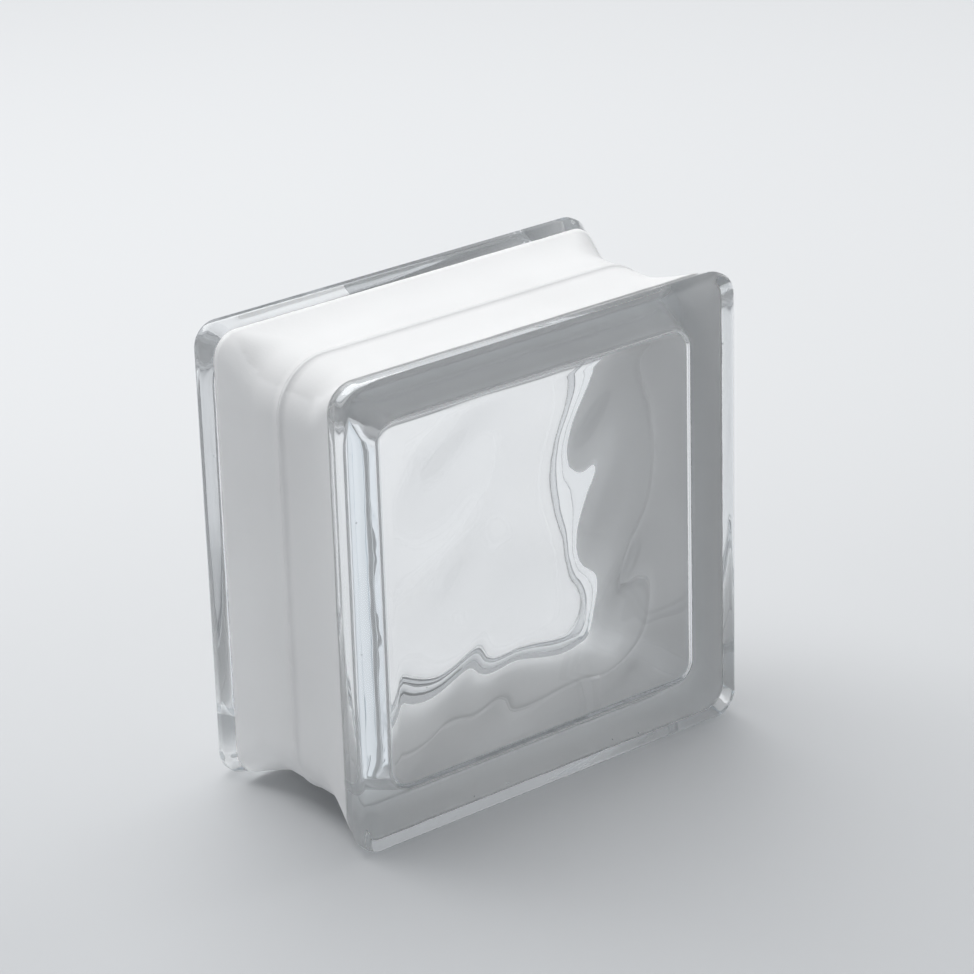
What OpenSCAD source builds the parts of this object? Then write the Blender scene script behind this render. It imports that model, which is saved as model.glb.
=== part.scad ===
// Hollow glass block for masonry: two pressed glass halves fused at a seam
// round the middle, with a white coating on the four edge channels.
// +Z is up and the origin is on the ground under the middle of the block.
// Width runs along X, depth along Y, and the front face looks along -Y.

/* [Block] */
// Width and height of the square face
face_size = 190; // [160:1:240]
// Depth from face to face
block_depth = 95; // [78:1:120]
// Radius of the four corners of the face outline
corner_r = 10; // [8:0.5:13]

/* [Flange] */
// Width of the land round each face, rounded edge included
land_w = 5; // [4:0.5:8]
// Radius of the rounded edge between the face and the land
edge_r = 2.5; // [1:0.25:3.5]

/* [Mortar channel] */
// Depth of the channel below the lands
channel_depth = 5.5; // [4.5:0.25:9]
// Width of the flat floor along the middle of the channel
floor_w = 30; // [10:1:40]
// Corner radius of the outline at the channel floor
floor_corner_r = 21; // [14:0.5:26]

/* [Seam] */
// Width of the raised seam where the halves are fused
seam_w = 3; // [2:0.25:5]
// Height of the seam above the channel floor
seam_h = 0.7; // [0.3:0.1:1.2]

/* [Glass walls] */
// Thickness of each face at the middle of its wave relief
face_wall = 7; // [6:0.5:11]
// Thickness of the side wall at the seam
side_wall = 7.5; // [5:0.5:9]
// Distance from the block's outline to the edge of the inner window
window_inset = 23.5; // [21:0.5:30]
// Corner radius of the inner window
window_corner_r = 5; // [4:0.5:14]
// Radius of the fillet between the inner face and the side walls
window_fillet_r = 5; // [2:0.5:5.5]

/* [Wave relief] */
// Height of the waves on each inner face, from its middle level
wave_h = 1.8; // [0.5:0.1:2.5]
// Length of the long waves
wave_length = 78; // [50:1:120]

/* [Edge coating] */
// Thickness of the white coating in the channels
coat_t = 0.4; // [0.2:0.05:0.8]
// Width of the clear glass between each face and the coating
clear_w = 11.5; // [8.5:0.5:16]

/* [Hidden] */

// Steps along each round corner, each straight side and each curved section
corner_steps = 8;
side_steps = 16;
channel_steps = 7;
bare_steps = 2;
edge_steps = 3;
fillet_steps = 4;
relief_rings = 14;

// Room between the half and the box round it
trim = 1;

half_size = face_size / 2;
half_depth = block_depth / 2;
land_z = half_depth - land_w;
coat_z = half_depth - clear_w;
floor_z = floor_w / 2;
// The channel side is one arc, tangent to the floor and meeting the land
channel_r = ((land_z - floor_z) ^ 2 + channel_depth ^ 2) / (2 * channel_depth);
inner_face_z = half_depth - face_wall;
window_half = half_size - window_inset;
cavity_half = half_size - channel_depth - side_wall;

// Depth of the channel side below the land at height z above the seam plane
function channel_at(z) = channel_depth - channel_r + sqrt(channel_r ^ 2 - (z - floor_z) ^ 2);

// Corner radius at depth d: nearly the flange's own, until it grows close to the floor
function corner_at(d) = corner_r + (floor_corner_r - corner_r) * (d / channel_depth) ^ 4;

// Height of the wave relief at a point of the inner face, none at its border
function wave(x, y) = wave_h * (1 - pow(min(1, max(abs(x), abs(y)) / window_half), 8)) *
    (0.46 * sin(360 * (x + 14 * sin(360 * y / 130)) / wave_length + 40) +
     0.36 * sin(360 * (y + 11 * sin(360 * x / 105)) / (0.8 * wave_length) + 15) +
     0.18 * sin(360 * (0.85 * y - 0.5 * x + 7 * sin(360 * x / 64)) / (0.5 * wave_length) + 20));

// Rounded square outline at height z, anticlockwise, with its sides in steps
function outline(half, r, z, steps = 1) = [
    for (k = [0:3])
        each concat(
            [for (i = [0:corner_steps])
                let (a = 90 * (k + i / corner_steps), c = 90 * k + 45, m = (half - r) * sqrt(2))
                [m * cos(c) + r * cos(a), m * sin(c) + r * sin(a), z]],
            [for (i = [1:1:steps - 1])
                let (t = (half - r) * (1 - 2 * i / steps), a = 90 * k)
                [t * cos(a) - half * sin(a), t * sin(a) + half * cos(a), z]])];

// Quads between neighbouring rings of n points
function skin(n, rings) = [
    for (i = [0:rings - 2], j = [0:n - 1])
        let (k = (j + 1) % n)
        [i * n + j, (i + 1) * n + j, (i + 1) * n + k, i * n + k]];

// The rings after the first one
function after_first(rings) = [for (i = [1:len(rings) - 1]) rings[i]];

// The rings in reverse order
function backwards(rings) = [for (i = [len(rings) - 1:-1:0]) rings[i]];

// The same rings turned over to the other side of the seam plane
function turned(rings) = [for (ring = rings) [for (p = ring) [p[0], p[1], -p[2]]]];

// Ring of the channel at height z, at depth d and raised by lift
function channel_ring(z, d, lift) = outline(half_size - d + lift, corner_at(d) + lift, z);

// Rings of the channel side from height z1 to height z2
function side_rings(z1, z2, steps, lift) = [
    for (i = [0:steps])
        let (z = z1 + (z2 - z1) * i / steps)
        channel_ring(z, channel_at(z), lift)];

// Rings from the seam plane to the border of the coating, raised by lift
function coated_rings(lift) = concat(
    [for (z = [0, seam_w / 2 - seam_h / 2]) channel_ring(z, channel_depth, seam_h + lift)],
    [channel_ring(seam_w / 2 + lift, channel_depth, lift)],
    side_rings(floor_z, coat_z, channel_steps, lift));

// Outside of one half, from the seam plane to the face
function outside_rings() = concat(
    coated_rings(0),
    after_first(side_rings(coat_z, land_z, bare_steps, 0)),
    [for (i = [0:edge_steps])
        let (a = 90 * i / edge_steps, d = edge_r * (1 - cos(a)))
        outline(half_size - d, corner_r - d, half_depth - edge_r * (1 - sin(a)))]);

// Inside of one half, from the middle of the wavy face out to its border,
// round the fillet and down the drafted walls to the seam plane
function inside_rings() = concat(
    [for (i = [1:relief_rings])
        let (s = i / relief_rings)
        [for (p = outline(window_half * s, window_corner_r * s, 0, side_steps))
            [p[0], p[1], inner_face_z + wave(p[0], p[1])]]],
    [for (i = [1:fillet_steps])
        let (a = 90 * i / fillet_steps, d = window_fillet_r * sin(a))
        outline(window_half + d, window_corner_r + d,
                inner_face_z - window_fillet_r * (1 - cos(a)), side_steps)],
    [outline(cavity_half, window_corner_r + window_fillet_r, 0, side_steps)]);

// Triangles of the flat seam ring, between the stepped inner outline that
// starts at point a and the plain outer outline that starts at point b
function seam_ring(a, b) =
    let (inner = corner_steps + side_steps, outer = corner_steps + 1)
    [for (k = [0:3])
        let (i = a + k * inner, j = b + k * outer,
             i_next = a + (k + 1) % 4 * inner, j_next = b + (k + 1) % 4 * outer)
        each concat(
            [for (c = [0:corner_steps - 1]) [i + c, j + c, j + c + 1, i + c + 1]],
            [for (t = [corner_steps:inner - 1])
                [i + t, j + corner_steps, t == inner - 1 ? i_next : i + t + 1]],
            [[i_next, j + corner_steps, j_next]])];

// One pressed half as a closed shell, on the seam plane with its face upwards
module half_shell() {
    inside = inside_rings();
    outside = outside_rings();
    n = len(inside[0]);
    a = (len(inside) - 1) * n;
    b = len(inside) * n;
    m = len(outside[0]);
    top = b + (len(outside) - 1) * m;
    middle = top + m;
    polyhedron(
        points = concat([for (ring = inside) each ring], [for (ring = outside) each ring],
                        [[0, 0, inner_face_z + wave(0, 0)]]),
        faces = concat(
            [for (j = [0:n - 1]) [j, (j + 1) % n, middle]],
            skin(n, len(inside)),
            seam_ring(a, b),
            [for (f = skin(m, len(outside))) [for (v = f) v + b]],
            [[for (j = [m - 1:-1:0]) top + j]]));
}

// Stands the half upright. The box only joins the facets of each flat side
// into one face.
module half_block() {
    translate([0, 0, half_size])
        rotate([90, 0, 0])
            intersection() {
                half_shell();
                translate([-half_size - trim, -half_size - trim, -trim])
                    cube([face_size + 2 * trim, face_size + 2 * trim, half_depth + 2 * trim]);
            }
}

module front_half() {
    color([0.80, 0.87, 0.87, 0.45]) half_block();
}

module rear_half() {
    color([0.76, 0.84, 0.85, 0.45]) rotate([0, 0, 180]) half_block();
}

// Skin of even thickness over the seam, the floor and both channel sides
module edge_coating() {
    under = coated_rings(0);
    over = coated_rings(coat_t);
    rings = concat(
        turned(backwards(after_first(over))), over,
        backwards(under), turned(after_first(under)));
    n = len(rings[0]);
    total = n * len(rings);
    color("white")
        translate([0, 0, half_size])
            rotate([90, 0, 0])
                polyhedron(
                    points = [for (ring = rings) each ring],
                    faces = [for (f = skin(n, len(rings) + 1)) [for (v = f) v % total]]);
}

front_half();
rear_half();
edge_coating();
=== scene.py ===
"""Looks of a hollow glass block: pressed glass with wavy inner faces, a white edge coating and a studio whose floor
carries painted shade towards the front.
"""

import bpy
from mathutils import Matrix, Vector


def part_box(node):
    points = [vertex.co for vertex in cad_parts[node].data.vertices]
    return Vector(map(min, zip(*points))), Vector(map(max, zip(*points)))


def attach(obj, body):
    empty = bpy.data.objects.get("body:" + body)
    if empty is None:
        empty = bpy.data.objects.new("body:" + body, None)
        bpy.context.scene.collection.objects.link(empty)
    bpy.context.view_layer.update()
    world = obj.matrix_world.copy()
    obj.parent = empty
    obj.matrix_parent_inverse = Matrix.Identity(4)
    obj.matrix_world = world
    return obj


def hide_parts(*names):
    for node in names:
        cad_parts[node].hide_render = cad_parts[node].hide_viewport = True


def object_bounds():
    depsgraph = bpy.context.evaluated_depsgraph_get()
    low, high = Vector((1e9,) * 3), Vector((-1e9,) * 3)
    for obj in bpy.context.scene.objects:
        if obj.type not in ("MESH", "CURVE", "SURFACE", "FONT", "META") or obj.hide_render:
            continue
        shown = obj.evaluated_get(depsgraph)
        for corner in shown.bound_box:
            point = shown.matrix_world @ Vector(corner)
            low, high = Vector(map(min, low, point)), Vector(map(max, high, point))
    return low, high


bl_info = {
    "name": "Glass Block",
    "version": (1, 0, 0),
    "blender": (4, 5, 0),
    "location": "3D View > Sidebar > Glass Block",
    "description": "Builds a hollow glass block, its edge coating and a plain studio round the packed frame",
    "category": "Object",
}
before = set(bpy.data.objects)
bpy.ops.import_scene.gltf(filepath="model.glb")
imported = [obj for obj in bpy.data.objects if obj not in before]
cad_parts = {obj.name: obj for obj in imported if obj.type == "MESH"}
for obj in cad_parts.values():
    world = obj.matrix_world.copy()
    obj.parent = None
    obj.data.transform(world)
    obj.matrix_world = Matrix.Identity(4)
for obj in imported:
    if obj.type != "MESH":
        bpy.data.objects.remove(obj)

import math

import bpy
import numpy as np
from bpy.props import FloatProperty, FloatVectorProperty, IntProperty, PointerProperty
from mathutils import Matrix, Vector

MM = 0.001
CAD_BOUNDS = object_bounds()
BLOCK_LOW, BLOCK_HIGH = (Vector(corner) for corner in CAD_BOUNDS)
FACE_SIZE = BLOCK_HIGH.x - BLOCK_LOW.x
BLOCK_DEPTH = BLOCK_HIGH.y - BLOCK_LOW.y
COATING_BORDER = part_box("edge_coating")[1][1]

# Steps of each round corner and each straight side, and rings across each inner face
OUTSIDE_STEPS = (14, 6)
INSIDE_STEPS = (10, 40)
COATING_STEPS = (14, 110)
INNER_FACE_RINGS = 44

# How near a ring counts as being at a given place
TOUCH = 0.01 * MM

# The seam's profile: sharpness of its lips, and depth and width of the groove between them
LIP_SHARPNESS = 0.8
GROOVE_DEPTH = 0.45
GROOVE_WIDTH = 0.22

# How fast the corner radius grows with depth, and how fast the waves fade at the window's border
CORNER_GROWTH = 4
FADE_POWER = 8

# Wave trains of the inner faces: share of the height, direction across and up, length as a share of the
# long waves', start angle, and the bend of their crests: the axis it runs along, its height and its length
WAVE_TRAINS = (
    (0.46, (1.0, 0.0), 1.0, 40, ("up", 14 * MM, 130 * MM)),
    (0.36, (0.0, 1.0), 0.8, 15, ("across", 11 * MM, 105 * MM)),
    (0.18, (-0.5, 0.85), 0.5, 20, ("across", 7 * MM, 64 * MM)),
)

# Bubbles: distance of their path from the outline and of their level from the face, and their smallest size
BUBBLE_INSET = 6 * MM
BUBBLE_SINK = 4.5 * MM
BUBBLE_SPREAD = 4 * MM
SMALLEST_BUBBLE = 0.35

# Lights: place and width
OVERHEAD_SOFTBOX = ((0.05, 0.75, 1.7), 2.0)
RIGHT_FILL = ((1.7, 0.1, 0.8), 1.2)

# Point that the camera looks at, and distances along its view over which painted shade darkens the floor towards the
# front
CAMERA_TARGET = (6.94 * MM, 0, 109.04 * MM)
FLOOR_PAINTED_SHADE_SPAN = (-0.34, 0.42)
FLOOR_REACH = 6.0

# Light bounces, enough for all the walls of the hollow glass and for the white channels inside it
CLEAR_BOUNCES = 24
DIFFUSE_BOUNCES = 12


def length(name, text, default):
    """A size in metres, as a property that a user can change."""
    return FloatProperty(name=name, description=text, default=default, min=0, subtype="DISTANCE", unit="LENGTH")


def colour(name, text, default):
    """A colour property."""
    return FloatVectorProperty(
        name=name, description=text, default=default, size=len(default), min=0, max=1, subtype="COLOR"
    )


class GlassBlockShape(bpy.types.PropertyGroup):
    """Sizes of the glass body"""

    corner_radius: length("Corner radius", "Radius of the four corners of the face outline", 10 * MM)
    edge_radius: length("Edge radius", "Radius of the rounded edge between the face and the land", 2.5 * MM)
    land_width: length("Land width", "Width of the land round each face, rounded edge included", 5 * MM)
    land_edge_radius: length("Land edge radius", "Radius between the land and the channel side", 4 * MM)
    channel_depth: length("Channel depth", "Depth of the mortar channel below the lands", 5.5 * MM)
    floor_width: length("Channel floor", "Width of the flat floor of the channel", 30 * MM)
    floor_corner_radius: length("Floor corner radius", "Corner radius at the channel floor", 21 * MM)
    seam_width: length("Seam width", "Width of the raised seam between the two halves", 3 * MM)
    seam_height: length("Seam height", "Height of the seam above the channel floor", 0.7 * MM)
    face_wall: length("Face wall", "Thickness of each face at the middle of its waves", 7 * MM)
    side_wall: length("Side wall", "Thickness of the side wall at the seam", 7.5 * MM)
    window_inset: length("Window inset", "From the block's outline to the edge of the wavy face", 23.5 * MM)
    window_corner_radius: length("Window corner radius", "Corner radius of the wavy face", 5 * MM)
    window_fillet_radius: length("Window fillet", "Fillet between the wavy face and the side walls", 5 * MM)
    wave_height: length("Wave height", "Height of the waves on the inner faces", 1.8 * MM)
    wave_length: length("Wave length", "Length of the long waves", 78 * MM)
    bubbles: IntProperty(name="Bubbles", description="Small air bubbles in the flanges", default=16, min=0)
    bubble_radius: length("Bubble radius", "Radius of the largest bubbles", 0.45 * MM)


class GlassBlockFinish(bpy.types.PropertyGroup):
    """Finish of the glass and of the coating"""

    glass_tint: colour("Glass tint", "What the glass lets through in a thick piece", (0.82, 0.93, 1.0, 1))
    glass_density: FloatProperty(
        name="Glass density", description="How fast thick glass takes up its tint, per metre", default=4.0, min=0
    )
    coating_colour: colour("Coating", "Colour of the edge coating", (0.985, 0.985, 0.985, 1))
    lamp_share: FloatProperty(
        name="Lamp share", description="Share of the lamps' light that goes straight through a glass surface",
        default=0.62, min=0, max=1,
    )
    coating_glow: FloatProperty(
        name="Coating glow", description="Share of the light that soaks into the coating", default=0.45, min=0, max=1
    )
    coating_thickness: length("Coating thickness", "How far the coating stands on the glass", 0.35 * MM)
    coating_bite: length("Coating bite", "How far the coating sinks into the glass it is bonded to", 0.12 * MM)
    air_film: length("Air film", "Hairline of air behind the loose coating of the left channel", 0.03 * MM)
    loose_reach: length("Loose reach", "How far from the left outline the coating is loose", 10 * MM)
    border_wander: length("Border wander", "How far the coating's border strays from a straight line", 0.5 * MM)


class GlassBlockStage(bpy.types.PropertyGroup):
    """Camera, floor and light"""

    azimuth: FloatProperty(
        name="Azimuth", description="Camera's turn about the block", default=math.radians(-38.0), subtype="ANGLE"
    )
    elevation: FloatProperty(
        name="Elevation", description="Camera's height above the floor", default=math.radians(23.06), subtype="ANGLE"
    )
    roll: FloatProperty(
        name="Roll", description="Camera's turn about its own line of sight",
        default=math.radians(-1.73), subtype="ANGLE",
    )
    distance: length("Distance", "From the camera to the point it looks at", 1.4515)
    lens: FloatProperty(name="Lens", description="Focal length in millimetres", default=137.6, min=1)
    floor_colour: colour("Floor", "Colour of the floor behind the block", (0.55, 0.557, 0.565, 1))
    # Floor in front: painted shade, a darker floor colour on the camera's side of the block
    floor_front_painted_shade: colour("Floor in front", "Colour of the floor in front of the block", (0.475, 0.485, 0.497, 1))
    surroundings: colour("Surroundings", "Light from all round", (0.41, 0.422, 0.436, 1))
    softbox_power: FloatProperty(name="Softbox", description="Power of the overhead light in watts", default=45.5)
    fill_power: FloatProperty(name="Fill", description="Power of the light at the right in watts", default=6.0)


# ---------------------------------------------------------------- outlines and shells


def rounded_square(half, radius, corner_steps, side_steps):
    """Points of a rounded square round the origin, anticlockwise."""
    points = []
    for quarter in range(4):
        turn = math.radians(90 * quarter)
        across, along = math.cos(turn), math.sin(turn)
        centre = (half - radius) * np.array([across - along, across + along])
        for step in range(corner_steps + 1):
            angle = turn + math.radians(90 * step / corner_steps)
            points.append(centre + radius * np.array([math.cos(angle), math.sin(angle)]))
        for step in range(1, side_steps):
            t = (half - radius) * (1 - 2 * step / side_steps)
            points.append(np.array([t * across - half * along, t * along + half * across]))
    return np.array(points)


def ring(half, radius, y, corner_steps, side_steps):
    """A rounded square standing upright round the block's middle, at depth y."""
    flat = rounded_square(half, radius, corner_steps, side_steps)
    return np.stack([flat[:, 0], np.full(len(flat), y), flat[:, 1] + FACE_SIZE / 2], axis=1)


def closed_shell(rings, inward=False):
    """Vertices and faces through rings from front to back, with a fan at each end. inward turns the faces round."""
    count = len(rings[0])
    ends = [rings[0].mean(axis=0), rings[-1].mean(axis=0)]
    vertices = np.concatenate(rings + [np.array(ends)])
    front, back = len(vertices) - 2, len(vertices) - 1
    last = (len(rings) - 1) * count
    faces = []
    for j in range(count):
        k = (j + 1) % count
        faces.append((front, j, k))
        faces.append((back, last + k, last + j))
        for i in range(len(rings) - 1):
            low, high = i * count, (i + 1) * count
            faces.append((low + j, high + j, high + k, low + k))
    if inward:
        faces = [face[::-1] for face in faces]
    return vertices, faces


def ring_tube(rings):
    """Vertices and faces of a closed band: each ring joins the next, and the last joins the first."""
    count, total = len(rings[0]), len(rings)
    faces = []
    for i in range(total):
        low, high = i * count, (i + 1) % total * count
        for j in range(count):
            k = (j + 1) % count
            faces.append((low + j, high + j, high + k, low + k))
    return np.concatenate(rings), faces


class Section:
    """The block's cross-section: how deep the channel lies at each distance from the seam."""

    def __init__(self, shape):
        self.shape = shape
        self.half_depth = BLOCK_DEPTH / 2
        self.floor_edge = shape.floor_width / 2
        self.land_edge = self.half_depth - shape.land_width
        run = self.land_edge - self.floor_edge
        self.arc = (run**2 + shape.channel_depth**2) / (2 * shape.channel_depth)
        self.arc_level = shape.channel_depth - self.arc
        blend = self.arc + shape.land_edge_radius
        rise = shape.land_edge_radius - self.arc_level
        self.blend_centre = self.floor_edge + math.sqrt(blend**2 - rise**2)
        share = self.arc / blend
        self.blend_start = self.floor_edge + (self.blend_centre - self.floor_edge) * share

    def depth(self, y):
        """Depth below the lands, at distance y from the seam plane."""
        y = abs(y)
        if y <= self.floor_edge:
            return self.shape.channel_depth
        if y <= self.blend_start:
            return self.arc_level + math.sqrt(self.arc**2 - (y - self.floor_edge) ** 2)
        if y < self.blend_centre:
            radius = self.shape.land_edge_radius
            return radius - math.sqrt(max(0.0, radius**2 - (self.blend_centre - y) ** 2))
        return 0.0

    def seam(self, y):
        """Height of the seam's two lips above the floor, at distance y from the seam plane."""
        t = abs(y) / (self.shape.seam_width / 2)
        if t >= 1:
            return 0.0
        lip = math.cos(math.pi / 2 * t) ** LIP_SHARPNESS
        groove = GROOVE_DEPTH * math.exp(-((t / GROOVE_WIDTH) ** 2))
        return self.shape.seam_height * (lip - groove)

    def outline(self, y, lift=0.0):
        """Half width and corner radius of the outside at y, raised by lift."""
        depth = self.depth(y)
        radius = self.shape.corner_radius
        radius += (self.shape.floor_corner_radius - radius) * (depth / self.shape.channel_depth) ** CORNER_GROWTH
        up = lift + self.seam(y)
        return FACE_SIZE / 2 - depth + up, radius + up

    def channel_stops(self):
        """Distances from the seam plane at which the channel gets a ring, from the seam to the land."""
        seam = np.linspace(0, self.shape.seam_width / 2, 10)
        flat = np.linspace(self.shape.seam_width / 2, self.floor_edge, 5)[1:]
        coated = np.linspace(self.floor_edge, COATING_BORDER, 13)[1:]
        bare = np.linspace(COATING_BORDER, self.blend_start, 5)[1:]
        blend = np.linspace(self.blend_start, self.blend_centre, 6)[1:]
        return np.concatenate([seam, flat, coated, bare, blend])


def outside_rings(section, corner_steps, side_steps):
    """Rings of the glass body's outside, from the middle of the front face to the middle of the back."""
    shape = section.shape
    half, radius = FACE_SIZE / 2, shape.corner_radius
    inner = half - shape.edge_radius
    face = [(inner * s, (radius - shape.edge_radius) * s, section.half_depth) for s in (0.3, 0.7, 0.95, 0.995)]
    edge = []
    for angle in np.linspace(0, math.pi / 2, 9):
        drop = shape.edge_radius * (1 - math.sin(angle))
        edge.append((half - drop, radius - drop, section.half_depth - shape.edge_radius * (1 - math.cos(angle))))
    land = [(half, radius, section.blend_centre + 0.1 * MM)]
    channel = [(*section.outline(y), y) for y in section.channel_stops()[::-1]]
    front = face + edge + land + channel
    profile = [(h, r, -y) for h, r, y in front] + [(h, r, y) for h, r, y in front[-2::-1]]
    return [ring(h, r, y, corner_steps, side_steps) for h, r, y in profile]


def inside_rings(section, corner_steps, side_steps, face_rings):
    """Rings of the hollow, from the middle of the front inner face to the middle of the back one."""
    shape = section.shape
    level = section.half_depth - shape.face_wall
    half = FACE_SIZE / 2 - shape.window_inset
    radius, fillet = shape.window_corner_radius, shape.window_fillet_radius
    cavity = FACE_SIZE / 2 - shape.channel_depth - shape.side_wall
    face = [(half * s, radius * s, level) for s in np.linspace(0, 1, face_rings + 1)[1:]]
    bend = []
    for angle in np.linspace(0, math.pi / 2, 9)[1:]:
        out = fillet * math.sin(angle)
        bend.append((half + out, radius + out, level - fillet * (1 - math.cos(angle))))
    top = level - fillet
    wall = []
    for t in np.linspace(0, 1, 9)[1:]:
        wall.append((half + fillet + (cavity - half - fillet) * t, radius + fillet, top * (1 - t)))
    front = face + bend + wall
    profile = [(h, r, -y) for h, r, y in front] + [(h, r, y) for h, r, y in front[-2::-1]]
    return [ring(h, r, y, corner_steps, side_steps) for h, r, y in profile]


def new_object(name, vertices, faces):
    """A smooth mesh object at the origin."""
    mesh = bpy.data.meshes.new(name)
    mesh.from_pydata([tuple(v) for v in vertices], [], faces)
    mesh.shade_smooth()
    mesh.update()
    piece = bpy.data.objects.new(name, mesh)
    bpy.context.scene.collection.objects.link(piece)
    return piece


def settle(piece, name):
    """Turns the result of the piece's modifiers into its plain mesh and removes them."""
    graph = bpy.context.evaluated_depsgraph_get()
    mesh = bpy.data.meshes.new_from_object(piece.evaluated_get(graph))
    mesh.name = name
    old = piece.data
    piece.modifiers.clear()
    piece.data = mesh
    bpy.data.meshes.remove(old)
    mesh.shade_smooth()
    return piece


# ---------------------------------------------------------------- node trees


class Tree:
    """A few short words for building a node tree."""

    def __init__(self, tree):
        self.tree = tree

    def node(self, kind, **settings):
        node = self.tree.nodes.new(kind)
        for key, value in settings.items():
            setattr(node, key, value)
        return node

    def link(self, source, target):
        if isinstance(source, (int, float, tuple)):
            target.default_value = source
        else:
            self.tree.links.new(source, target)

    def math(self, operation, *values):
        node = self.node("ShaderNodeMath", operation=operation)
        for socket, value in zip(node.inputs, values):
            self.link(value, socket)
        return node.outputs[0]

    def add(self, a, b):
        return self.math("ADD", a, b)

    def times(self, a, b):
        return self.math("MULTIPLY", a, b)

    def sine(self, value):
        return self.math("SINE", value)


def socket_id(group, name):
    """Identifier of a group's named input, which a modifier needs."""
    return next(i.identifier for i in group.interface.items_tree if i.name == name and i.in_out == "INPUT")


def new_group(name, inputs):
    """A Geometry Nodes group with a geometry input and output and the named inputs."""
    group = bpy.data.node_groups.new(name, "GeometryNodeTree")
    group.is_modifier = True
    group.interface.new_socket("Geometry", in_out="OUTPUT", socket_type="NodeSocketGeometry")
    group.interface.new_socket("Geometry", in_out="INPUT", socket_type="NodeSocketGeometry")
    for label, kind, default in inputs:
        item = group.interface.new_socket(label, in_out="INPUT", socket_type=kind)
        if default is not None:
            item.default_value = default
    return group


def run_group(piece, group, values):
    """Runs a group on a piece with its named inputs, and leaves a plain mesh."""
    modifier = piece.modifiers.new(group.name, "NODES")
    modifier.node_group = group
    for name, value in values.items():
        modifier[socket_id(group, name)] = value
    return settle(piece, piece.name)


FLOAT, INT, MATERIAL = "NodeSocketFloat", "NodeSocketInt", "NodeSocketMaterial"


def wave_height_field(t, across, up, wave_length):
    """Sum of the crossing wave trains, from -1 to 1. across and up are in metres from the block's middle."""
    turn = 2 * math.pi
    axes = {"across": across, "up": up}
    total = None
    for share, (part_across, part_up), length_share, start_angle, (axis, bend_height, bend_length) in WAVE_TRAINS:
        bend = t.times(t.sine(t.times(axes[axis], turn / bend_length)), bend_height)
        along = t.add(t.add(t.times(across, part_across), t.times(up, part_up)), bend)
        phase = t.add(t.times(t.math("DIVIDE", along, wave_length), turn / length_share), math.radians(start_angle))
        train = t.times(t.sine(phase), share)
        total = train if total is None else t.add(total, train)
    return total


def glass_body_group():
    """Presses the waves into both inner faces and puts small bubbles into the flanges."""
    group = new_group(
        "Pressed glass",
        [
            ("Wave height", FLOAT, 0.0018),
            ("Wave length", FLOAT, 0.078),
            ("Bubbles", INT, 16),
            ("Bubble radius", FLOAT, 0.00045),
            ("Bubble path", FLOAT, 0.088),
            ("Bubble level", FLOAT, 0.042),
            ("Seed", INT, 7),
            ("Material", MATERIAL, None),
        ],
    )
    t = Tree(group)
    start = t.node("NodeGroupInput").outputs
    end = t.node("NodeGroupOutput")
    place = t.node("ShaderNodeSeparateXYZ")
    t.link(t.node("GeometryNodeInputPosition").outputs[0], place.inputs[0])
    relief = t.node("GeometryNodeInputNamedAttribute", data_type="FLOAT")
    relief.inputs["Name"].default_value = "relief"
    side = t.math("SIGN", relief.outputs[0])
    across = t.times(t.times(place.outputs["X"], side), -1.0)
    up = t.add(place.outputs["Z"], -FACE_SIZE / 2)
    field = wave_height_field(t, across, up, start["Wave length"])
    offset = t.node("ShaderNodeCombineXYZ")
    t.link(t.times(t.times(field, relief.outputs[0]), start["Wave height"]), offset.inputs["Y"])
    press = t.node("GeometryNodeSetPosition")
    t.link(start["Geometry"], press.inputs["Geometry"])
    t.link(offset.outputs[0], press.inputs["Offset"])
    join = t.node("GeometryNodeJoinGeometry")
    t.link(press.outputs[0], join.inputs[0])
    t.link(bubbles(t, start), join.inputs[0])
    real = t.node("GeometryNodeRealizeInstances")
    t.link(join.outputs[0], real.inputs[0])
    paint = t.node("GeometryNodeSetMaterial")
    t.link(real.outputs[0], paint.inputs["Geometry"])
    t.link(start["Material"], paint.inputs["Material"])
    t.link(paint.outputs[0], end.inputs[0])
    return group


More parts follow.
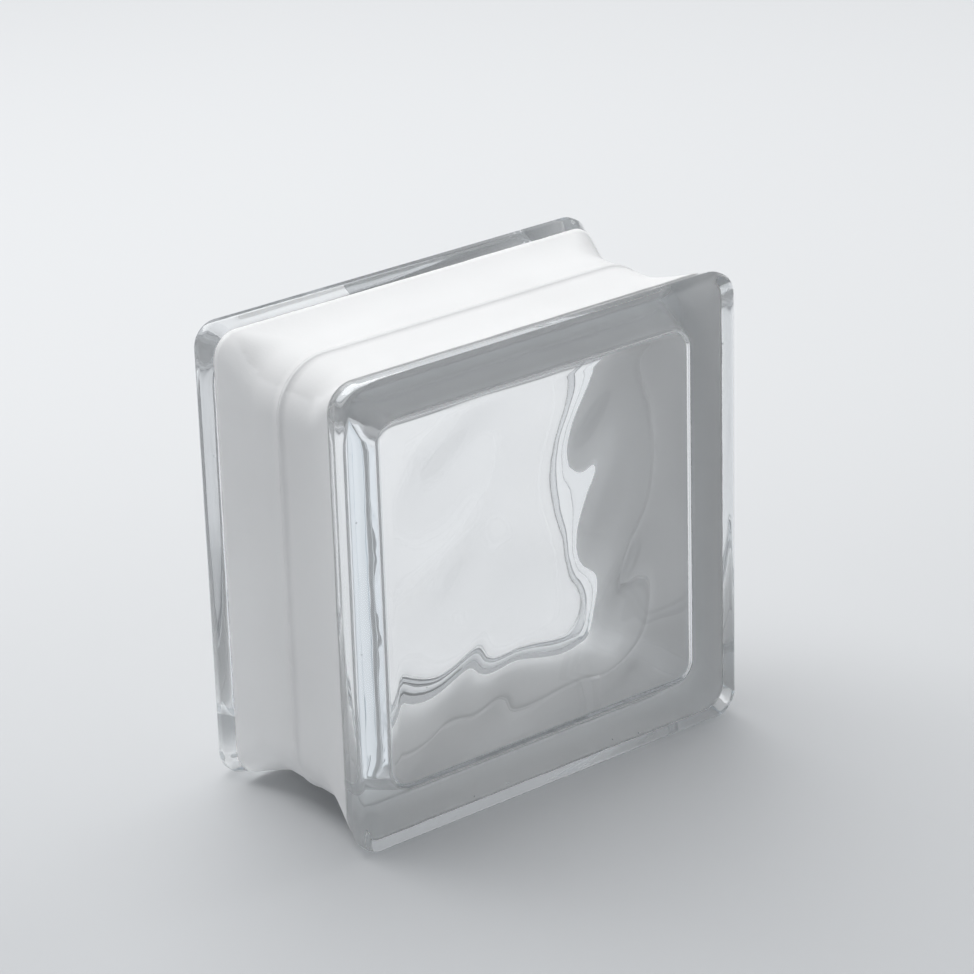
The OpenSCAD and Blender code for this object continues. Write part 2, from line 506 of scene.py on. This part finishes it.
def bubbles(t, start):
    """Small spheres, turned inside out, strewn along the middle of both flanges."""
    points = t.node("GeometryNodePoints")
    t.link(start["Bubbles"], points.inputs["Count"])
    random = t.node("FunctionNodeRandomValue", data_type="FLOAT_VECTOR")
    random.inputs["Min"].default_value = (-1, -1, -1)
    random.inputs["Max"].default_value = (1, 1, 1)
    t.link(start["Seed"], random.inputs["Seed"])
    pick = t.node("ShaderNodeSeparateXYZ")
    t.link(random.outputs["Value"], pick.inputs[0])
    along = t.times(pick.outputs["X"], 0.8)
    upright = t.math("GREATER_THAN", pick.outputs["Y"], 0.0)
    edge = t.math("SIGN", pick.outputs["Z"])
    reach = start["Bubble path"]
    level = t.math("ABSOLUTE", pick.outputs["Z"])
    jitter = t.times(t.add(level, -0.5), BUBBLE_SPREAD)
    rim = t.times(edge, t.add(reach, jitter))
    run = t.times(along, reach)
    flat = t.math("SUBTRACT", 1.0, upright)
    x = t.add(t.times(rim, upright), t.times(run, flat))
    z = t.add(t.times(run, upright), t.times(rim, flat))
    face = t.math("SIGN", t.add(t.math("ABSOLUTE", pick.outputs["Y"]), -0.5))
    y = t.times(face, start["Bubble level"])
    place = t.node("ShaderNodeCombineXYZ")
    t.link(x, place.inputs["X"])
    t.link(y, place.inputs["Y"])
    t.link(t.add(z, FACE_SIZE / 2), place.inputs["Z"])
    t.link(place.outputs[0], points.inputs["Position"])
    ball = t.node("GeometryNodeMeshIcoSphere")
    ball.inputs["Subdivisions"].default_value = 3
    t.link(start["Bubble radius"], ball.inputs["Radius"])
    smooth = t.node("GeometryNodeSetShadeSmooth")
    t.link(ball.outputs["Mesh"], smooth.inputs[0])
    flip = t.node("GeometryNodeFlipFaces")
    t.link(smooth.outputs[0], flip.inputs["Mesh"])
    size = t.node("FunctionNodeRandomValue", data_type="FLOAT")
    size.inputs["Min"].default_value = SMALLEST_BUBBLE
    size.inputs["Max"].default_value = 1.0
    t.link(start["Seed"], size.inputs["Seed"])
    put = t.node("GeometryNodeInstanceOnPoints")
    t.link(points.outputs[0], put.inputs["Points"])
    t.link(flip.outputs[0], put.inputs["Instance"])
    t.link(size.outputs[1], put.inputs["Scale"])
    real = t.node("GeometryNodeRealizeInstances")
    t.link(put.outputs[0], real.inputs[0])
    return real.outputs[0]


def coating_group():
    """Lets the coating's two borders wander."""
    group = new_group("Coating border", [("Wander", FLOAT, 0.0005), ("Material", MATERIAL, None)])
    t = Tree(group)
    start = t.node("NodeGroupInput").outputs
    end = t.node("NodeGroupOutput")
    border = t.node("GeometryNodeInputNamedAttribute", data_type="FLOAT")
    border.inputs["Name"].default_value = "border"
    fine = t.node("ShaderNodeTexNoise")
    fine.inputs["Scale"].default_value = 420
    fine.inputs["Detail"].default_value = 3
    broad = t.node("ShaderNodeTexNoise")
    broad.inputs["Scale"].default_value = 55
    broad.inputs["Detail"].default_value = 2
    fine_stray = t.times(t.add(fine.outputs[0], -0.5), 1.3)
    broad_stray = t.times(t.add(broad.outputs[0], -0.55), 2.2)
    stray = t.add(fine_stray, broad_stray)
    offset = t.node("ShaderNodeCombineXYZ")
    t.link(t.times(t.times(stray, border.outputs[0]), start["Wander"]), offset.inputs["Y"])
    move = t.node("GeometryNodeSetPosition")
    t.link(start["Geometry"], move.inputs["Geometry"])
    t.link(offset.outputs[0], move.inputs["Offset"])
    real = t.node("GeometryNodeRealizeInstances")
    t.link(move.outputs[0], real.inputs[0])
    paint = t.node("GeometryNodeSetMaterial")
    t.link(real.outputs[0], paint.inputs["Geometry"])
    t.link(start["Material"], paint.inputs["Material"])
    t.link(paint.outputs[0], end.inputs[0])
    return group


# ---------------------------------------------------------------- materials


def new_material(name):
    """An empty node material, and short words for its tree."""
    material = bpy.data.materials.new(name)
    material.use_nodes = True
    material.node_tree.nodes.clear()
    return material, Tree(material.node_tree)


def clear_glass(finish):
    """Pressed clear glass, with faint ripples from the mould and a faint blue tint where it is thick.

    The lamps' light goes straight through, so that it reaches the coating without being lost in the walls."""
    material, t = new_material("clear_glass")
    out = t.node("ShaderNodeOutputMaterial")
    shader = t.node("ShaderNodeBsdfPrincipled")
    shader.inputs["Base Color"].default_value = (1, 1, 1, 1)
    shader.inputs["Roughness"].default_value = 0.0
    shader.inputs["IOR"].default_value = 1.52
    shader.inputs["Transmission Weight"].default_value = 1.0
    where = t.node("ShaderNodeTexCoord")
    ripple = t.node("ShaderNodeTexNoise")
    ripple.inputs["Scale"].default_value = 45
    ripple.inputs["Detail"].default_value = 1.5
    t.link(where.outputs["Object"], ripple.inputs["Vector"])
    bump = t.node("ShaderNodeBump")
    bump.inputs["Strength"].default_value = 0.25
    bump.inputs["Distance"].default_value = 0.0006
    t.link(ripple.outputs[0], bump.inputs["Height"])
    t.link(bump.outputs[0], shader.inputs["Normal"])
    clear = t.node("ShaderNodeBsdfTransparent")
    clear.inputs["Color"].default_value = (finish.lamp_share, finish.lamp_share, finish.lamp_share, 1)
    lamps = t.node("ShaderNodeMixShader")
    t.link(t.node("ShaderNodeLightPath").outputs["Is Shadow Ray"], lamps.inputs[0])
    t.link(shader.outputs[0], lamps.inputs[1])
    t.link(clear.outputs[0], lamps.inputs[2])
    t.link(lamps.outputs[0], out.inputs["Surface"])
    absorb = t.node("ShaderNodeVolumeAbsorption")
    absorb.inputs["Color"].default_value = tuple(finish.glass_tint)
    absorb.inputs["Density"].default_value = finish.glass_density
    t.link(absorb.outputs[0], out.inputs["Volume"])
    return material


def white_coating(finish):
    """Matt white coating with a fine sprayed grain."""
    material, t = new_material("white_coating")
    out = t.node("ShaderNodeOutputMaterial")
    shader = t.node("ShaderNodeBsdfPrincipled")
    where = t.node("ShaderNodeTexCoord")
    cloud = t.node("ShaderNodeTexNoise")
    cloud.inputs["Scale"].default_value = 24
    cloud.inputs["Detail"].default_value = 4
    t.link(where.outputs["Object"], cloud.inputs["Vector"])
    ramp = t.node("ShaderNodeValToRGB")
    tone = np.array(finish.coating_colour)
    ramp.color_ramp.elements[0].position = 0.3
    ramp.color_ramp.elements[0].color = (*(tone[:3] * 0.97), 1)
    ramp.color_ramp.elements[1].position = 0.7
    ramp.color_ramp.elements[1].color = (*tone[:3], 1)
    t.link(cloud.outputs[0], ramp.inputs[0])
    t.link(ramp.outputs[0], shader.inputs["Base Color"])
    grain = t.node("ShaderNodeTexNoise")
    grain.inputs["Scale"].default_value = 900
    grain.inputs["Detail"].default_value = 3
    t.link(where.outputs["Object"], grain.inputs["Vector"])
    bump = t.node("ShaderNodeBump")
    bump.inputs["Strength"].default_value = 0.35
    bump.inputs["Distance"].default_value = 0.0002
    t.link(grain.outputs[0], bump.inputs["Height"])
    t.link(bump.outputs[0], shader.inputs["Normal"])
    rough = t.node("ShaderNodeMapRange")
    rough.inputs["To Min"].default_value = 0.5
    rough.inputs["To Max"].default_value = 0.72
    t.link(cloud.outputs[0], rough.inputs["Value"])
    t.link(rough.outputs[0], shader.inputs["Roughness"])
    soak = t.node("ShaderNodeBsdfTranslucent")
    t.link(ramp.outputs[0], soak.inputs["Color"])
    mix = t.node("ShaderNodeMixShader")
    mix.inputs["Fac"].default_value = finish.coating_glow
    t.link(shader.outputs[0], mix.inputs[1])
    t.link(soak.outputs[0], mix.inputs[2])
    t.link(mix.outputs[0], out.inputs["Surface"])
    return material


def painted_shade_floor(stage):
    """Smooth pale board with painted shade: its colour darkens along the camera's view towards the front."""
    material, t = new_material("painted_shade_floor")
    out = t.node("ShaderNodeOutputMaterial")
    shader = t.node("ShaderNodeBsdfPrincipled")
    where = t.node("ShaderNodeTexCoord")
    away = t.node("ShaderNodeVectorMath", operation="DOT_PRODUCT")
    t.link(where.outputs["Object"], away.inputs[0])
    away.inputs[1].default_value = (-math.sin(stage.azimuth), math.cos(stage.azimuth), 0)
    # Painted shade: the floor colour darkens along the camera's view towards the front
    painted_shade = t.node("ShaderNodeMapRange", interpolation_type="SMOOTHSTEP")
    painted_shade.inputs["From Min"].default_value = FLOOR_PAINTED_SHADE_SPAN[0]
    painted_shade.inputs["From Max"].default_value = FLOOR_PAINTED_SHADE_SPAN[1]
    t.link(away.outputs["Value"], painted_shade.inputs["Value"])
    ramp = t.node("ShaderNodeValToRGB")
    ramp.color_ramp.elements[0].color = tuple(stage.floor_front_painted_shade)
    ramp.color_ramp.elements[1].color = tuple(stage.floor_colour)
    t.link(painted_shade.outputs[0], ramp.inputs[0])
    t.link(ramp.outputs[0], shader.inputs["Base Color"])
    shader.inputs["Roughness"].default_value = 0.75
    shader.inputs["Specular IOR Level"].default_value = 0.2
    t.link(shader.outputs[0], out.inputs["Surface"])
    return material


# ---------------------------------------------------------------- operators


class GLASSBLOCK_OT_glass_body(bpy.types.Operator):
    """Add the pressed glass body, with its hollow, wavy inner faces and small bubbles"""

    bl_idname = "glassblock.glass_body"
    bl_label = "Glass Body"

    def execute(self, context):
        shape = context.scene.glassblock_shape
        section = Section(shape)
        outside, outside_faces = closed_shell(outside_rings(section, *OUTSIDE_STEPS))
        rings = inside_rings(section, *INSIDE_STEPS, INNER_FACE_RINGS)
        inside, inside_faces = closed_shell(rings, inward=True)
        shift = len(outside)
        faces = outside_faces + [tuple(v + shift for v in face) for face in inside_faces]
        piece = new_object("glass_body", np.concatenate([outside, inside]), faces)
        self.mark_relief(piece, section, shift)
        values = {
            "Wave height": shape.wave_height,
            "Wave length": shape.wave_length,
            "Bubbles": shape.bubbles,
            "Bubble radius": shape.bubble_radius,
            "Bubble path": FACE_SIZE / 2 - BUBBLE_INSET,
            "Bubble level": section.half_depth - BUBBLE_SINK,
            "Material": clear_glass(context.scene.glassblock_finish),
        }
        run_group(piece, glass_body_group(), values)
        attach(piece, "root")
        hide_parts("front_half", "rear_half")
        return {"FINISHED"}

    def mark_relief(self, piece, section, first):
        """Marks how far each inner-face vertex takes the waves: 1 in the middle and 0 at the border,
        less than 0 on the front face."""
        shape = section.shape
        window = FACE_SIZE / 2 - shape.window_inset
        level = section.half_depth - shape.face_wall
        place = np.array([v.co for v in piece.data.vertices])
        reach = np.maximum(abs(place[:, 0]), abs(place[:, 2] - FACE_SIZE / 2)) / window
        fade = 1 - np.clip(reach, 0, 1) ** FADE_POWER
        on_face = (abs(abs(place[:, 1]) - level) < 1e-6) & (np.arange(len(place)) >= first)
        relief = np.where(on_face, fade * np.sign(place[:, 1]), 0)
        attribute = piece.data.attributes.new("relief", "FLOAT", "POINT")
        attribute.data.foreach_set("value", relief.astype(np.float32))


class GLASSBLOCK_OT_edge_coating(bpy.types.Operator):
    """Add the white coating over the four mortar channels and the seam"""

    bl_idname = "glassblock.edge_coating"
    bl_label = "Edge Coating"

    def execute(self, context):
        scene = context.scene
        finish = scene.glassblock_finish
        section = Section(scene.glassblock_shape)
        stops = section.channel_stops()
        stops = stops[stops < COATING_BORDER + TOUCH]
        both = np.concatenate([-stops[::-1], stops[1:]])
        over = [ring(*section.outline(y, finish.coating_thickness), y, *COATING_STEPS) for y in both]
        under = []
        for y in both[::-1]:
            bonded = ring(*section.outline(y, -finish.coating_bite), y, *COATING_STEPS)
            loose = ring(*section.outline(y, finish.air_film), y, *COATING_STEPS)
            left = -bonded[:, :1] > FACE_SIZE / 2 - finish.loose_reach
            under.append(np.where(left, loose, bonded))
        rings = over + under
        border = [self.near_border(y) for y in np.concatenate([both, both[::-1]])]
        vertices, faces = ring_tube(rings)
        piece = new_object("edge_coating_skin", vertices, faces)
        attribute = piece.data.attributes.new("border", "FLOAT", "POINT")
        attribute.data.foreach_set("value", np.repeat(border, len(rings[0])).astype(np.float32))
        values = {"Wander": finish.border_wander, "Material": white_coating(finish)}
        run_group(piece, coating_group(), values)
        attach(piece, "root")
        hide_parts("edge_coating")
        return {"FINISHED"}

    @staticmethod
    def near_border(y):
        """1 at the very border, with the sign of its side, and 0 elsewhere."""
        return math.copysign(1.0, y) if abs(abs(y) - COATING_BORDER) < TOUCH else 0.0


class GLASSBLOCK_OT_stage(bpy.types.Operator):
    """Add the floor, the lights and the camera"""

    bl_idname = "glassblock.stage"
    bl_label = "Stage"

    def execute(self, context):
        stage = context.scene.glassblock_stage
        self.add_camera(context.scene, stage)
        self.add_floor(stage)
        self.add_surroundings(context.scene, stage)
        self.add_softbox("overhead_softbox", *OVERHEAD_SOFTBOX, stage.softbox_power)
        self.add_softbox("right_fill", *RIGHT_FILL, stage.fill_power)
        return {"FINISHED"}

    def add_camera(self, scene, stage):
        """Looks at a point just right of and above the block's middle."""
        target = Vector(CAMERA_TARGET)
        turn, rise = stage.azimuth, stage.elevation
        back = Vector((math.sin(turn) * math.cos(rise), -math.cos(turn) * math.cos(rise), math.sin(rise)))
        camera = bpy.data.cameras.new("camera")
        camera.lens = stage.lens
        camera.sensor_width = 36
        camera.clip_start = 0.05
        holder = bpy.data.objects.new("camera", camera)
        scene.collection.objects.link(holder)
        level = back.to_track_quat("Z", "Y").to_matrix().to_4x4()
        holder.matrix_world = (
            Matrix.Translation(target + back * stage.distance) @ level @ Matrix.Rotation(stage.roll, 4, "Z")
        )
        scene.camera = holder

    def add_floor(self, stage):
        """A wide board under the block, whose material paints shade on it towards the front."""
        corners = [(x * FLOOR_REACH, y * FLOOR_REACH, 0) for x, y in ((-1, -1), (1, -1), (1, 1), (-1, 1))]
        floor = new_object("floor", corners, [(0, 1, 2, 3)])
        floor.data.materials.append(painted_shade_floor(stage))

    def add_surroundings(self, scene, stage):
        """Even soft light from all round."""
        world = bpy.data.worlds.new("surroundings")
        world.use_nodes = True
        background = world.node_tree.nodes["Background"]
        background.inputs["Color"].default_value = tuple(stage.surroundings)
        background.inputs["Strength"].default_value = 1.0
        scene.world = world

    def add_softbox(self, name, place, size, power):
        """A square area light that looks at the block, and is not itself seen through the glass."""
        light = bpy.data.lights.new(name, "AREA")
        light.size = size
        light.energy = power
        holder = bpy.data.objects.new(name, light)
        holder.visible_transmission = False
        bpy.context.scene.collection.objects.link(holder)
        towards = Vector((0, 0, FACE_SIZE / 2)) - Vector(place)
        holder.matrix_world = Matrix.Translation(place) @ towards.to_track_quat("-Z", "Y").to_matrix().to_4x4()


class GLASSBLOCK_PT_panel(bpy.types.Panel):
    """Sidebar panel that lists the pieces"""

    bl_idname = "GLASSBLOCK_PT_panel"
    bl_label = "Glass Block"
    bl_space_type = "VIEW_3D"
    bl_region_type = "UI"
    bl_category = "Glass Block"

    def draw(self, context):
        column = self.layout.column(align=True)
        for operator in PIECES:
            column.operator(operator.bl_idname)
        scene = context.scene
        for group in (scene.glassblock_shape, scene.glassblock_finish, scene.glassblock_stage):
            box = self.layout.box()
            for name in group.__annotations__:
                box.prop(group, name)


PIECES = (GLASSBLOCK_OT_glass_body, GLASSBLOCK_OT_edge_coating, GLASSBLOCK_OT_stage)
CLASSES = (GlassBlockShape, GlassBlockFinish, GlassBlockStage, *PIECES, GLASSBLOCK_PT_panel)


def register():
    for cls in CLASSES:
        bpy.utils.register_class(cls)
    bpy.types.Scene.glassblock_shape = PointerProperty(type=GlassBlockShape)
    bpy.types.Scene.glassblock_finish = PointerProperty(type=GlassBlockFinish)
    bpy.types.Scene.glassblock_stage = PointerProperty(type=GlassBlockStage)


def unregister():
    del bpy.types.Scene.glassblock_shape
    del bpy.types.Scene.glassblock_finish
    del bpy.types.Scene.glassblock_stage
    for cls in reversed(CLASSES):
        bpy.utils.unregister_class(cls)


def deepen_light_paths(cycles):
    """Lets light pass through all the walls of the hollow glass before it is dropped."""
    cycles.max_bounces = CLEAR_BOUNCES
    cycles.diffuse_bounces = DIFFUSE_BOUNCES
    cycles.glossy_bounces = CLEAR_BOUNCES
    cycles.transmission_bounces = CLEAR_BOUNCES


def main():
    register()
    bpy.context.scene.view_settings.view_transform = "Standard"
    deepen_light_paths(bpy.context.scene.cycles)
    bpy.ops.glassblock.glass_body()
    bpy.ops.glassblock.edge_coating()
    bpy.ops.glassblock.stage()


if __name__ == "__main__":
    main()
